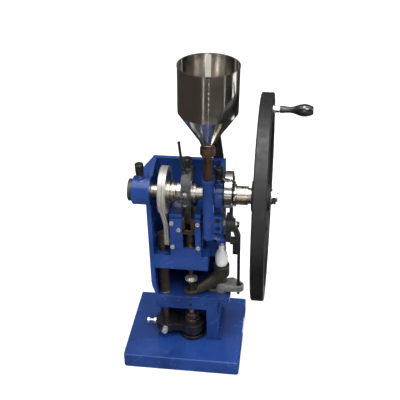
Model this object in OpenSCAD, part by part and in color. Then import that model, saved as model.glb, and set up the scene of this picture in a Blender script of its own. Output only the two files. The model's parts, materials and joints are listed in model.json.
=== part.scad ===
// Hand-cranked single-punch tablet press, millimetres.
// Origin: centre of the base plate's underside. +X to the flywheel, +Y to the back, +Z up.

/* [Base and column] */
// Base plate width along X
base_w = 268; // [200:1:320]
// Base plate depth along Y
base_d = 229; // [180:1:280]
// Base plate thickness
base_t = 36; // [20:1:50]
// Top of the die table
table_z = 162; // [140:1:190]
// Top of the column's back wall
column_top = 470; // [440:1:500]
// Thickness of the cast column walls
wall = 10; // [8:0.5:16]

/* [Shaft and flywheel] */
// Height of the crankshaft axis
shaft_z = 432; // [415:1:450]
// Crankshaft radius
shaft_r = 14; // [10:0.5:16]
// Radius of the two cast shaft bosses
boss_r = 30.5; // [25:0.5:34]
// Flywheel outer radius
wheel_r = 215; // [160:1:240]
// Flywheel rim width along X
rim_w = 26; // [18:1:40]
// Number of flywheel spokes
spokes = 5; // [4:1:6]
// Throw of the pressing eccentric, half of the punch stroke
throw_press = 14; // [10:0.5:16]
// Throw of the lifting eccentric, half of the ejection stroke
throw_lift = 4.5; // [2:0.5:6]

/* [Tooling] */
// Die bore radius
die_bore = 5.5; // [3:0.25:8]
// Plunger radius
plunger_r = 12; // [9:0.5:14]
// Lifting rod radius
rod_r = 6.7; // [5:0.1:8]
// Radial running clearance of sliding fits
run = 0.05; // [0.02:0.01:0.1]

/* [Feed] */
// Hopper cylinder radius
hopper_r = 58.8; // [40:0.2:70]
// Height of the hopper's rim at its axis
hopper_top = 729.5; // [690:0.5:760]
// Height of the hopper's straight wall
hopper_wall = 93.5; // [60:0.5:110]
// Lean of the hopper above its neck, towards the flywheel, in degrees
hopper_lean = 1.5; // [0:0.1:3]

/* [Hidden] */
shaft_y = -23;                         // Y of the crankshaft and of both rod axes
punch_x = 17;                          // X of the punch axis
lift_x = -44;                          // X of the lifting rod
front_y = -42;                         // Y of the column's front faces
back_y = 64;                           // Y of the column's back face
foot_z = 44;                           // top of the pedestal's foot
wall_left = -72;                       // outer X of the left column wall
wall_right = 88;                       // outer X of the right column wall
table_left = -64;                      // left end of the die table
table_right = 106;                     // right end of the die table
wing_z = 151;                          // underside of the table's right wing
block_z = 241;                         // underside of the column's bridge
hopper_x = 62.5;                       // axis of the hopper's neck and of the feed post
hopper_y = -50;
shoe_x = 85;                           // feed shoe pivot
shoe_y = -8;
hub_top = 189.9;                       // top of the feed lever's hub
feed_rod_x = 123.4;                    // rod between rocker and feed lever
rocker_z = 348;                        // rocker pivot height
roller_y = 44;
roller_z = 424;
press_z = shaft_z + throw_press;       // pressing eccentric centre at rest
lift_z = shaft_z + throw_lift;         // lifting eccentric centre at rest
shaft_bore = shaft_r + run;
strap_r = 36;                          // pressing eccentric radius
lift_r = 40;                           // lifting eccentric radius
cross_z = press_z - 84;                // crosshead pin height
link_z = 304;                          // lifting link pin height
post_top = 484;
neck_z = 566;                          // foot of the hopper's cone
arm_low = 56;                          // underside of the lifting arm
arm_high = 77;
handle_z = shaft_z + 200;
crank_end = -110.5;                    // left end of the crankshaft
left_cup_x = -85;
right_cup_x = 82;
cup_x = [left_cup_x, right_cup_x];
base_holes = [[-58, 20], [-58, 58], [65, -28], [65, 50]];
keeper_holes = [[-18, 368], [-3, 352], [-18, 306], [38, 368], [38, 306]];
foot_screw_x = [-50, -12, 28, 66];
post_screw_z = [366, 386];
post_screw_x = 82;
stay_holes = [[64, 430], [76, 430], [64, 454], [76, 454]];
die_screw_z = [138, 152];

// cylinder along X from x0 to x1, centred on (y, z)
module round_x(x0, x1, y, z, r, n = 72) {
  translate([x0, y, z]) rotate([0, 90, 0]) cylinder(r = r, h = x1 - x0, $fn = n);
}
// cylinder along Y from y0 to y1, centred on (x, z)
module round_y(y0, y1, x, z, r, n = 48) {
  translate([x, y0, z]) rotate([-90, 0, 0]) cylinder(r = r, h = y1 - y0, $fn = n);
}
// cylinder along Z from z0 to z1, centred on (x, y)
module round_z(z0, z1, x, y, r, n = 64) {
  translate([x, y, z0]) cylinder(r = r, h = z1 - z0, $fn = n);
}
// cone along Z
module cone_z(z0, z1, x, y, low, high) {
  translate([x, y, z0]) cylinder(r1 = low, r2 = high, h = z1 - z0, $fn = 64);
}
// box between two corners
module block(x0, x1, y0, y1, z0, z1) {
  translate([x0, y0, z0]) cube([x1 - x0, y1 - y0, z1 - z0]);
}
// outline in Y and Z, extruded along X
module side_shape(x0, x1, points) {
  translate([x0, 0, 0]) rotate([90, 0, 90]) linear_extrude(x1 - x0) polygon(points);
}
// outline in X and Z, extruded along Y
module front_shape(y0, y1, points) {
  translate([0, y1, 0]) rotate([90, 0, 0]) linear_extrude(y1 - y0) polygon(points);
}
// hexagons by their width across flats
module hex_x(x0, x1, y, z, flats) {
  translate([x0, y, z]) rotate([0, 90, 0]) cylinder(r = flats / 2 / cos(30), h = x1 - x0, $fn = 6);
}
module hex_y(y0, y1, x, z, flats) {
  translate([x, y0, z]) rotate([-90, 0, 0]) cylinder(r = flats / 2 / cos(30), h = y1 - y0, $fn = 6);
}
module hex_z(z0, z1, x, y, flats) {
  translate([x, y, z0]) cylinder(r = flats / 2 / cos(30), h = z1 - z0, $fn = 6);
}
module ball(x, y, z, r) {
  translate([x, y, z]) sphere(r = r, $fn = 20);
}

// flat plate with rounded corners and a chamfered top edge
module base_plate() {
  w = base_w / 2;
  d = base_d / 2;
  r = 6;
  c = 2;
  color([0.14, 0.27, 0.6]) difference() {
    intersection() {
      union() {
        block(-w + r, w - r, -d, d, 0, base_t);
        block(-w, w, -d + r, d - r, 0, base_t);
        for (x = [-w + r, w - r], y = [-d + r, d - r]) round_z(0, base_t, x, y, r);
      }
      front_shape(-d - 1, d + 1,
        [[-w, 0], [w, 0], [w, base_t - c], [w - c, base_t], [-w + c, base_t], [-w, base_t - c]]);
      side_shape(-w - 1, w + 1,
        [[-d, 0], [d, 0], [d, base_t - c], [d - c, base_t], [-d + c, base_t], [-d, base_t - c]]);
    }
    for (p = base_holes) {
      round_z(-1, 12, p[0], p[1], 7.5);
      round_z(-1, base_t + 1, p[0], p[1], 4.3);
    }
    round_z(29, base_t + 1, punch_x, shaft_y, 12 + run);
  }
}
// socket screws of the base, of the die and of the feed post
module socket_screws() {
  color([0.13, 0.13, 0.14]) {
    for (p = base_holes) difference() {
      union() {
        round_z(3.5, 12, p[0], p[1], 6.5);
        round_z(12, 58, p[0], p[1], 4);
      }
      hex_z(2, 8, p[0], p[1], 6);
    }
    for (z = die_screw_z) difference() {
      round_y(front_y + 0.8, shaft_y - 9.6, punch_x, z, 3);
      hex_y(front_y, front_y + 4, punch_x, z, 3);
    }
    for (z = post_screw_z) difference() {
      union() {
        round_y(hopper_y - 5, hopper_y - 1, post_screw_x, z, 5);
        round_y(hopper_y - 1, front_y + 14, post_screw_x, z, 3);
      }
      hex_y(hopper_y - 6, hopper_y - 3, post_screw_x, z, 5);
    }
  }
}
// foot, pier, left wall and back wall under the die table
module pedestal() {
  color([0.14, 0.27, 0.6]) difference() {
    union() {
      block(-70, 60, 8, 66, base_t, foot_z);
      block(50, 86, front_y, 66, base_t, foot_z);
      block(53, 80, front_y, 66, foot_z, 120);
      block(53, 77, front_y, 66, 120, wing_z);
      block(-66, 60, 52, 66, foot_z, 126);
      block(-66, -50, 9, 60, foot_z, 126);
    }
    for (p = base_holes) round_z(base_t - 1, 60, p[0], p[1], 4.1);
  }
}
module die_table() {
  r = 12;
  color([0.14, 0.27, 0.6]) difference() {
    union() {
      block(table_left, 53, front_y, 80, 126, table_z);
      block(50, table_right - r, front_y, 30, wing_z, table_z);
      block(50, wall_right, 0, 80, wing_z, table_z);
      block(90, table_right, front_y + r, 30 - r, wing_z, table_z);
      for (y = [front_y + r, 30 - r]) round_z(wing_z, table_z, table_right - r, y, r);
    }
    round_z(125, table_z + 1, punch_x, shaft_y, 11);
    round_z(125, table_z + 1, lift_x, shaft_y, rod_r + 0.5);
    round_z(wing_z - 1, table_z + 1, shoe_x, shoe_y, 5.05);
    for (z = die_screw_z) round_y(front_y - 1, shaft_y - 10, punch_x, z, 3.05);
    for (x = foot_screw_x) round_z(148, table_z + 1, x, 72, 3.1);
  }
}
module column() {
  upper = [[back_y, column_top], [36, column_top], [-6, 458], [front_y, 430]];
  left_foot = [[-57.6, table_z], [table_left, table_z], [-65.5, 170], [-68.5, 180], [-71, 190]];
  left_side = [[wall_left, 201], [wall_left, 480], [wall_left + wall, 480], [wall_left + wall, 206]];
  left_curve = [[-61, 190], [-59, 176]];
  color([0.14, 0.27, 0.6]) difference() {
    union() {
      intersection() {
        side_shape(-80, -50, concat([[front_y, table_z], [back_y, table_z]], upper));
        front_shape(front_y - 1, back_y + 1, concat(left_foot, left_side, left_curve));
      }
      side_shape(wall_right - wall, wall_right,
        concat([[front_y, 350], [14, 350], [14, table_z], [back_y, table_z]], upper));
      block(-63, 80, back_y - wall, back_y, table_z, column_top);
      block(-65, 58, front_y, 60, block_z, 279);
      block(40, 80, 14, 60, block_z, 279);
      block(-24, 5, front_y, 60, 278, 388);
      block(31, 44, front_y, 60, 278, 388);
      block(4, 32, front_y, 60, 278, 300);
      round_x(-100, -62, shaft_y, shaft_z, boss_r);
      round_x(75, 92, shaft_y, shaft_z, boss_r);
      block(-60, 78, 62, 80, table_z, 172);
      cone_z(450, 467, left_cup_x, shaft_y, 15, 10);
      round_z(450, 467, right_cup_x, shaft_y, 8);
    }
    round_x(-101, -60, shaft_y, shaft_z, 18);
    round_x(74, 93, shaft_y, shaft_z, 18);
    round_z(block_z - 1, 280, lift_x, shaft_y, rod_r + 0.5);
    round_z(block_z - 6, 301, punch_x, shaft_y, 17);
    for (x = cup_x) round_z(446, 468, x, shaft_y, 4);
    for (x = foot_screw_x) round_z(table_z - 1, 173, x, 72, 3.3);
    for (p = keeper_holes) round_y(front_y - 1, front_y + 14, p[0], p[1], 2.55);
    for (z = post_screw_z) round_y(front_y - 1, front_y + 16, post_screw_x, z, 3.05);
    for (p = stay_holes) round_y(50, 65, p[0], p[1], 3.05);
    round_x(84, 90, shoe_y, rocker_z, 6.05);
  }
}
// hexagon screws of the column foot and of the hopper stay
module frame_bolts() {
  color([0.77, 0.77, 0.78]) {
    for (x = foot_screw_x) {
      hex_z(173.5, 178, x, 72, 10);
      round_z(172, 173.5, x, 72, 7);
      round_z(150, 173.5, x, 72, 3);
    }
    for (p = stay_holes) {
      hex_y(69, 73.5, p[0], p[1], 9);
      round_y(55, 72, p[0], p[1], 3);
    }
    hex_y(-21.5, -18, shoe_x + 3, 300, 7);
    round_y(-19, -16.2, shoe_x + 3, 300, 2);
  }
}
module die() {
  color([0.72, 0.72, 0.74]) difference() {
    round_z(130, table_z, punch_x, shaft_y, 10.98);
    round_z(129, table_z + 1, punch_x, shaft_y, die_bore);
    for (z = die_screw_z) round_y(shaft_y - 12.5, shaft_y - 9.5, punch_x, z, 3.2);
  }
}
module bearing_bushes() {
  color([0.2, 0.19, 0.18]) difference() {
    union() {
      round_x(-102, -61, shaft_y, shaft_z, 17.98);
      round_x(-110, -100, shaft_y, shaft_z, 24);
      round_x(75, 92, shaft_y, shaft_z, 17.98);
    }
    round_x(-111, -52, shaft_y, shaft_z, shaft_bore);
    round_x(74, 94, shaft_y, shaft_z, shaft_bore);
    for (x = cup_x) round_z(440, 460, x, shaft_y, 4.05);
  }
}
module oil_cup_bodies() {
  color([0.7, 0.7, 0.7]) for (x = cup_x) difference() {
    union() {
      round_z(450, 474, x, shaft_y, 3.95);
      hex_z(467, 471, x, shaft_y, 11);
      round_z(471, 475, x, shaft_y, 5);
    }
    round_z(449, 476, x, shaft_y, 2);
  }
}
module cup_cap(x) {
  color([0.03, 0.03, 0.03]) difference() {
    union() {
      cone_z(471.3, 495, x, shaft_y, 8.5, 9.4);
      cone_z(495, 496.2, x, shaft_y, 9.4, 8.4);
    }
    round_z(470, 491, x, shaft_y, 6.8);
  }
}
module left_oil_cup_cap() cup_cap(left_cup_x);
module right_oil_cup_cap() cup_cap(right_cup_x);
module keeper_plates() {
  color([0.16, 0.29, 0.62]) difference() {
    union() {
      block(-23, 4.5, front_y - 4, front_y, 298, 378);
      block(31.5, 44, front_y - 4, front_y, 298, 378);
    }
    for (p = keeper_holes) round_y(front_y - 5, front_y + 1, p[0], p[1], 2.7);
  }
}
module keeper_screws() {
  color([0.8, 0.8, 0.8]) for (p = keeper_holes) difference() {
    union() {
      round_y(front_y - 8, front_y - 4, p[0], p[1], 4.6);
      round_y(front_y - 5, front_y + 12, p[0], p[1], 2.5);
    }
    hex_y(front_y - 9, front_y - 6, p[0], p[1], 4);
  }
}
module plunger_bush() {
  color([0.62, 0.48, 0.24]) difference() {
    union() {
      round_z(block_z, 299, punch_x, shaft_y, 16.98);
      round_z(238.5, block_z, punch_x, shaft_y, 18);
    }
    round_z(236, 301, punch_x, shaft_y, plunger_r + run);
  }
}
module rod_sleeve() {
  color([0.4, 0.33, 0.26]) difference() {
    union() {
      round_z(table_z, block_z, lift_x, shaft_y, 12.4);
      round_z(table_z, 165, lift_x, shaft_y, 13);
    }
    round_z(table_z - 1, 242, lift_x, shaft_y, rod_r + run);
  }
}
// open cup on the base plate, with a guide bore sunk into the plate
module lower_guide_cup() {
  color([0.03, 0.03, 0.03]) difference() {
    union() {
      round_z(base_t, 46.5, punch_x, shaft_y, 28.5);
      round_z(30, base_t, punch_x, shaft_y, 12);
    }
    round_z(38.5, 47, punch_x, shaft_y, 26.2);
    round_z(30.5, 48, punch_x, shaft_y, 9 + run);
  }
}
// slanted frame from the feed post to the shoe's axis
module spout() {
  v = [shoe_x - hopper_x, shoe_y - hopper_y, 310 - 350];
  translate([hopper_x, hopper_y, 350]) rotate([0, acos(v[2] / norm(v)), atan2(v[1], v[0])])
    translate([0, 0, -2]) children();
}
module feed_post() {
  reach = norm([shoe_x - hopper_x, shoe_y - hopper_y, 310 - 350]);
  color([0.15, 0.28, 0.62]) difference() {
    union() {
      round_z(338, post_top, hopper_x, hopper_y, 12);
      round_z(476, post_top, hopper_x, hopper_y, 14);
      spout() cylinder(r = 9.5, h = reach + 4, $fn = 48);
      round_z(294.5, 314, shoe_x, shoe_y, 10);
      block(hopper_x + 4, 92, hopper_y - 6, front_y, 356, 396);
    }
    round_z(354, post_top + 1, hopper_x, hopper_y, 8.9 + run);
    round_z(346, 355, hopper_x, hopper_y, 6.5);
    spout() translate([0, 0, 3]) cylinder(r = 6.5, h = reach - 1, $fn = 48);
    round_z(294, 307, shoe_x, shoe_y, 6.5);
    round_y(-19, -16, shoe_x + 3, 300, 2.05);
    for (z = post_screw_z) {
      round_y(hopper_y - 7, hopper_y - 1, post_screw_x, z, 5.2);
      round_y(hopper_y - 7, front_y + 1, post_screw_x, z, 3.2);
    }
  }
}
// plate on the column's back that steadies the hopper's neck from behind
module hopper_stay() {
  top = 563;
  color([0.03, 0.03, 0.03]) difference() {
    union() {
      block(59, 82, back_y, 69, 420, 470);
      front_shape(back_y, 69, [[60, 468], [82.5, 468], [82.5, 472], [71, top], [60, top]]);
      translate([0, 0, top - 5]) linear_extrude(5)
        polygon([[55, -33], [67, -33], [71, 60], [71, 69], [60, 69], [57, 60]]);
      intersection() {
        difference() {
          round_z(top - 5, top, hopper_x, hopper_y, 20.5);
          round_z(top - 6, top + 1, hopper_x, hopper_y, 16.2);
        }
        block(hopper_x - 30, hopper_x + 30, hopper_y + 11, hopper_y + 30, 540, 570);
      }
    }
    for (p = stay_holes) round_y(63, 70, p[0], p[1], 3.2);
  }
}
module rocker_stud() {
  color([0.82, 0.82, 0.82]) union() {
    round_x(84.5, 88, shoe_y, rocker_z, 6);
    round_x(88, 94, shoe_y, rocker_z, 9);
    round_x(94, 117, shoe_y, rocker_z, 6);
    round_x(117, 119, shoe_y, rocker_z, 8);
    hex_x(119, 124, shoe_y, rocker_z, 13);
  }
}
module shoe_pin() {
  color([0.8, 0.8, 0.8]) union() {
    round_z(140, 176, shoe_x, shoe_y, 5);
    round_z(wing_z - 1.5, wing_z, shoe_x, shoe_y, 7.6);
    hex_z(wing_z - 8, wing_z - 1.5, shoe_x, shoe_y, 13);
  }
}
module main_shaft() {
  color([0.75, 0.75, 0.76]) difference() {
    union() {
      round_x(crank_end, 190, shaft_y, shaft_z, shaft_r);
      round_x(190, 204, shaft_y, shaft_z, 9.95);
    }
    block(151.9, 188.1, shaft_y - 4.05, shaft_y + 4.05, shaft_z + 9.95, shaft_z + 20);
    round_x(crank_end - 1, -105, shaft_y, shaft_z + throw_press / 2, 3.02, 36);
    round_x(crank_end - 1, -105, shaft_y, shaft_z + throw_lift / 2, 1.52, 36);
  }
}
module lifting_sheave() {
  color([0.55, 0.55, 0.56]) difference() {
    union() {
      round_x(-40.5, -25.5, shaft_y, lift_z, lift_r);
      round_x(-25.5, -21, shaft_y, shaft_z, 24);
    }
    round_x(-42, -20, shaft_y, shaft_z, shaft_bore);
  }
}
module shaft_collar() {
  color([0.78, 0.78, 0.79]) difference() {
    round_x(-6, 5, shaft_y, shaft_z, 23);
    round_x(-7, 6, shaft_y, shaft_z, shaft_bore);
    round_z(shaft_z + 13, shaft_z + 24, -0.5, shaft_y, 3.05);
  }
}
module eccentric_sheave() {
  color([0.5, 0.5, 0.5]) difference() {
    union() {
      round_x(6.5, 27.5, shaft_y, press_z, strap_r);
      round_x(27.5, 34, shaft_y, shaft_z, 20);
    }
    round_x(6, 35, shaft_y, shaft_z, shaft_bore);
  }
}
module feed_cam() {
  color([0.85, 0.85, 0.85]) difference() {
    union() {
      round_x(96, 111, shaft_y, shaft_z + 13, 39);
      round_x(111, 118, shaft_y, shaft_z, 24);
      round_x(93, 96, shaft_y, shaft_z, 22);
    }
    round_x(92, 119, shaft_y, shaft_z, shaft_bore);
    round_z(shaft_z + 13, shaft_z + 25, 114.5, shaft_y, 2.55);
  }
}
module shaft_sleeves() {
  color([0.72, 0.68, 0.58]) difference() {
    union() {
      round_x(-21, -8, shaft_y, shaft_z, 20);
      round_x(-17, -12, shaft_y, shaft_z, 22);
      round_x(119, 143, shaft_y, shaft_z, 20);
      round_x(143, 150, shaft_y, shaft_z, 17);
    }
    round_x(-22, 151, shaft_y, shaft_z, shaft_bore);
    round_z(shaft_z + 13, shaft_z + 22, 131, shaft_y, 3.05);
  }
}
module flywheel() {
  x0 = 161;
  x1 = x0 + rim_w;
  c = 2;
  inner = wheel_r - 30;
  rim = [[inner, x0], [wheel_r - c, x0], [wheel_r, x0 + c], [wheel_r, x1 - c], [wheel_r - c, x1],
    [inner, x1]];
  hub = [[5, 150], [31, 150], [33, 152], [33, x1 + 1], [31, x1 + 3], [5, x1 + 3]];
  spoke = [[28, -15], [inner + 4, -9.5], [inner + 4, 9.5], [28, 15]];
  color([0.06, 0.06, 0.065]) difference() {
    translate([0, shaft_y, shaft_z]) rotate([0, 90, 0]) union() {
      rotate_extrude($fn = 180) polygon(rim);
      rotate_extrude($fn = 90) polygon(hub);
      for (a = [0 : 360 / spokes : 359]) rotate([0, 0, a + 36]) intersection() {
        translate([0, 0, x0 + 6]) linear_extrude(rim_w - 12) polygon(spoke);
        cylinder(r = inner + 2, h = 300, $fn = 120);
      }
    }
    round_x(140, 200, shaft_y, shaft_z, shaft_bore);
    block(151.9, 188.1, shaft_y - 4.05, shaft_y + 4.05, shaft_z + 5, shaft_z + 18.05);
    round_x(x0 - 1, x1 + 1, shaft_y, handle_z, 7.05);
  }
}
module flywheel_key() {
  color([0.6, 0.6, 0.6]) block(152, 188, shaft_y - 4, shaft_y + 4, shaft_z + 10, shaft_z + 18);
}
module flywheel_nut() {
  color([0.8, 0.8, 0.8]) difference() {
    union() {
      round_x(190.2, 192.5, shaft_y, shaft_z, 17);
      hex_x(192.5, 200.5, shaft_y, shaft_z, 29.4);
    }
    round_x(189, 202, shaft_y, shaft_z, 10);
  }
}
module handle_spindle() {
  color([0.82, 0.82, 0.82]) union() {
    round_x(163, 187, shaft_y, handle_z, 7);
    round_x(187, 190, shaft_y, handle_z, 8.5);
    round_x(190, 200, shaft_y, handle_z, 6.5);
    round_x(200, 261.8, shaft_y, handle_z, 4.5);
  }
}
// socket set screw along Z in a collar on the shaft
module set_screw(x, top, r) {
  difference() {
    round_z(shaft_z + 14.5, top, x, shaft_y, r);
    hex_z(top - 2.5, top + 1, x, shaft_y, r);
  }
}
module set_screws() {
  color([0.15, 0.15, 0.16]) {
    set_screw(-0.5, shaft_z + 22.2, 3);
    set_screw(114.5, shaft_z + 23.2, 2.5);
    set_screw(131, shaft_z + 19.2, 3);
  }
}
module handle_grip() {
  neck = [[0, 262.2], [4.55, 262.2], [4.55, 200.4], [6.6, 200.4], [7.2, 201.4], [7, 206], [6.3, 213]];
  bulb = [[5.9, 220], [6.8, 226], [8.8, 232], [10.9, 238], [12.1, 244], [12.2, 249], [11.4, 254]];
  butt = [[10.2, 258], [8.9, 261.4], [7.6, 263.4], [6.2, 264], [0, 264]];
  color([0.02, 0.02, 0.02]) translate([0, shaft_y, handle_z]) rotate([0, 90, 0])
    rotate_extrude($fn = 72) polygon(concat(neck, bulb, butt));
}
// half of the pressing eccentric's strap ring, between two heights, with two bolt lugs
module strap_half(z0, z1, lug0, lug1) {
  intersection() {
    round_x(7, 27, shaft_y, press_z, 45);
    block(0, 40, shaft_y - 60, shaft_y + 60, z0, z1);
  }
  for (s = [-1, 1]) block(9, 25, shaft_y + s * 48 - 7, shaft_y + s * 48 + 7, lug0, lug1);
}
module strap_lower() {
  stem = [[shaft_y - 20, press_z - 38], [shaft_y - 10, press_z - 78], [shaft_y - 10, cross_z],
    [shaft_y + 10, cross_z], [shaft_y + 10, press_z - 78], [shaft_y + 20, press_z - 38]];
  color([0.22, 0.23, 0.24]) difference() {
    union() {
      strap_half(press_z - 60, press_z - 0.2, press_z - 10, press_z - 0.2);
      side_shape(11, 23, stem);
      round_x(11, 23, shaft_y, cross_z, 10);
    }
    round_x(6, 28, shaft_y, press_z, strap_r + run);
    round_x(10, 24, shaft_y, cross_z, 4.02);
    for (s = [-1, 1]) round_z(press_z - 12, press_z + 1, punch_x, shaft_y + s * 49.5, 2.6);
  }
}
module strap_cap() {
  color([0.22, 0.23, 0.24]) difference() {
    union() {
      strap_half(press_z, press_z + 60, press_z, press_z + 9);
      round_z(press_z + 36.5, press_z + 48, punch_x, shaft_y, 7);
      round_z(press_z + 38, press_z + 48.5, 11.5, shaft_y - 16, 4.4);
    }
    round_x(6, 28, shaft_y, press_z, strap_r + run);
    for (s = [-1, 1]) round_z(press_z - 1, press_z + 12, punch_x, shaft_y + s * 49.5, 2.6);
    round_z(press_z + 34, press_z + 49, punch_x, shaft_y, 3.05);
    round_z(press_z + 42, press_z + 49, 11.5, shaft_y - 16, 2.05);
  }
}
module strap_bolts() {
  color([0.75, 0.75, 0.75]) for (s = [-1, 1]) {
    y = shaft_y + s * 49.5;
    hex_z(press_z + 9, press_z + 13.5, punch_x, y, 8);
    round_z(press_z - 15, press_z + 9, punch_x, y, 2.5);
    hex_z(press_z - 14.5, press_z - 10, punch_x, y, 8);
  }
}
module strap_oil_cup() {
  z = press_z + 48.2;
  color([0.05, 0.05, 0.05]) union() {
    round_z(z - 10, z, punch_x, shaft_y, 3);
    round_z(z, z + 9, punch_x, shaft_y, 6);
    cone_z(z + 9, z + 12, punch_x, shaft_y, 6, 10);
    round_z(z + 12, z + 20, punch_x, shaft_y, 10);
    cone_z(z + 20, z + 22.5, punch_x, shaft_y, 10, 7);
  }
}
module crosshead_pin() {
  color([0.7, 0.7, 0.7]) round_x(5.8, 30.2, shaft_y, cross_z, 4);
}
module lock_lever() {
  x = 11.5;
  y = shaft_y - 16;
  z = press_z + 48.8;
  color([0.08, 0.08, 0.08]) union() {
    round_z(z - 5, z, x, y, 2);
    round_z(z, z + 6, x, y, 4);
    translate([x - 1, y, z + 4]) rotate([0, -9, 0]) cylinder(r = 2.8, h = 26, $fn = 32);
    translate([x - 5.1, y, z + 29.7]) rotate([0, -5, 0]) cylinder(r = 2.8, h = 34, $fn = 32);
    ball(x - 5.1, y, z + 29.9, 3);
    ball(x - 8.1, y, z + 63.5, 3.4);
  }
}
module end_dowel() {
  color([0.8, 0.8, 0.8]) round_x(crank_end - 0.3, -105.1, shaft_y, shaft_z + throw_press / 2, 3, 36);
}
module gallery_plug() {
  color([0.7, 0.6, 0.35]) round_x(crank_end - 0.3, -105.1, shaft_y, shaft_z + throw_lift / 2, 1.5, 36);
}
// crosshead with a cross slot above the round plunger
module plunger() {
  top = press_z - 64;
  color([0.62, 0.6, 0.57]) difference() {
    union() {
      block(5.3, 30.7, shaft_y - 25, shaft_y + 25, top - 40, top);
      round_z(237, top - 39, punch_x, shaft_y, plunger_r);
    }
    block(10.6, 23.4, shaft_y - 26, shaft_y + 26, top - 31.5, top + 1);
    block(5, 31, shaft_y - 14, shaft_y + 14, cross_z - 4.05, cross_z + 4.05);
    for (s = [-1, 1]) round_x(5, 31, shaft_y + s * 14, cross_z, 4.05);
    round_z(236, 262, punch_x, shaft_y, 7.55);
  }
}
module punch_nut() {
  color([0.85, 0.85, 0.86]) difference() {
    union() {
      round_z(201.2, 204, punch_x, shaft_y, 14);
      round_z(204, 207, punch_x, shaft_y, 8.5);
    }
    round_z(201, 208, punch_x, shaft_y, die_bore - 0.05);
  }
}
module upper_punch() {
  color([0.5, 0.4, 0.33]) union() {
    round_z(185, 237, punch_x, shaft_y, die_bore - 0.1);
    round_z(236.5, 261.8, punch_x, shaft_y, 7.5);
  }
}
module lifting_link() {
  arm = [[shaft_y - 46, lift_z - 22], [shaft_y - 10, 350], [shaft_y - 10, link_z], [shaft_y + 10, link_z],
    [shaft_y + 10, 350], [shaft_y + 46, lift_z - 22]];
  color([0.72, 0.72, 0.73]) difference() {
    union() {
      round_x(-41, -25, shaft_y, lift_z, 51);
      side_shape(-38.5, -28, arm);
      round_x(-38.5, -28, shaft_y, link_z, 10);
    }
    round_x(-42, -24, shaft_y, lift_z, lift_r + run);
    round_x(-40, -27, shaft_y, link_z, 4.02);
  }
}
module link_pin() {
  color([0.8, 0.8, 0.8]) union() {
    round_x(-51, -27.5, shaft_y, link_z, 4);
    round_x(-28, -26, shaft_y, link_z, 6);
  }
}
// rod with a flattened head that carries the cross slot of the link pin
module lifting_rod() {
  slide = throw_lift;
  color([0.6, 0.58, 0.55]) difference() {
    union() {
      round_z(50, 291, lift_x, shaft_y, rod_r);
      difference() {
        round_z(290, 324, lift_x, shaft_y, 10.5);
        block(-39, -30, shaft_y - 15, shaft_y + 15, 289, 325);
      }
    }
    block(-60, -30, shaft_y - slide, shaft_y + slide, link_z - 4.05, link_z + 4.05);
    for (s = [-1, 1]) round_x(-60, -30, shaft_y + s * slide, link_z, 4.05);
  }
}
// two round lobes joined by a web; the right lobe's skirt dips into the guide cup
module lifting_arm() {
  color([0.03, 0.03, 0.03]) difference() {
    union() {
      round_z(arm_low, arm_high, punch_x, shaft_y, 28);
      round_z(48, arm_low, punch_x, shaft_y, 25.5);
      block(lift_x, punch_x, shaft_y - 19, shaft_y + 19, arm_low, arm_high - 2);
      round_z(arm_low, arm_high, lift_x, shaft_y, 26.5);
    }
    round_z(47, 93, punch_x, shaft_y, 9 + run);
    round_z(47, 93, lift_x, shaft_y, rod_r + run);
    round_x(-71, lift_x - rod_r, shaft_y, 66.5, 3.05, 36);
    round_y(shaft_y - 28, shaft_y - rod_r, lift_x, 69, 3.05);
  }
}
module arm_bolts() {
  color([0.88, 0.88, 0.88]) {
    round_x(-87, lift_x - 7.2, shaft_y, 66.5, 3, 36);
    hex_x(-75.4, -70.7, shaft_y, 66.5, 12);
    hex_x(-91.5, -86.5, shaft_y, 66.5, 12);
    round_y(-58, shaft_y - 7.2, lift_x, 69, 3);
    hex_y(-54.4, -49.7, lift_x, 69, 12);
    hex_y(-63, -57.5, lift_x, 69, 12);
  }
}
module lower_stem() {
  color([0.5, 0.48, 0.46]) difference() {
    union() {
      round_z(40, 120, punch_x, shaft_y, 9);
      for (z = [108 : 1.5 : 118]) round_z(z, z + 0.8, punch_x, shaft_y, 9.4, 48);
    }
    round_z(104, 121, punch_x, shaft_y, 5.45);
  }
}
// two knurled nuts that set the fill and the ejection height
module regulator_nuts() {
  color([0.55, 0.54, 0.52]) difference() {
    union() {
      round_z(77.3, 88, punch_x, shaft_y, 16);
      round_z(91, 104, punch_x, shaft_y, 14);
      for (a = [0 : 30 : 330]) translate([punch_x, shaft_y, 0]) rotate([0, 0, a]) {
        translate([15.2, -1.6, 78.5]) cube([2, 3.2, 8.3]);
        translate([13.2, -1.4, 92.3]) cube([2, 2.8, 10.3]);
      }
    }
    round_z(76, 105, punch_x, shaft_y, 9 + run);
  }
}
module lower_punch() {
  color([0.85, 0.85, 0.87]) union() {
    round_z(105, table_z, punch_x, shaft_y, die_bore - 0.1);
    round_z(120.2, 124, punch_x, shaft_y, 8);
  }
}
module rocker_arm() {
  y0 = shoe_y - 7;
  y1 = shoe_y + 5;
  side = [[-12, 346], [-8, 338], [4, 340], [54, 416], [52, 434], [42, 430]];
  plate = [[95, 364], [97, 375], [107, 375], [127, 318], [127, 303], [97, 303], [95, 306]];
  color([0.2, 0.2, 0.2]) difference() {
    union() {
      side_shape(101, 108, side);
      round_x(95, 115, shoe_y, rocker_z, 14);
      round_x(99, 109, roller_y, roller_z, 12);
      front_shape(y0, y1, plate);
    }
    round_x(94, 130, shoe_y, rocker_z, 6 + run);
    round_x(115.5, 130, shoe_y, rocker_z, 9);
    round_x(90, 101, roller_y, roller_z, 13);
    round_x(90, 110, roller_y, roller_z, 4.02);
    front_shape(y0 - 1, y1 + 1, [[106, 332], [111, 332], [117, 312], [106, 312]]);
  }
}
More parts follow.
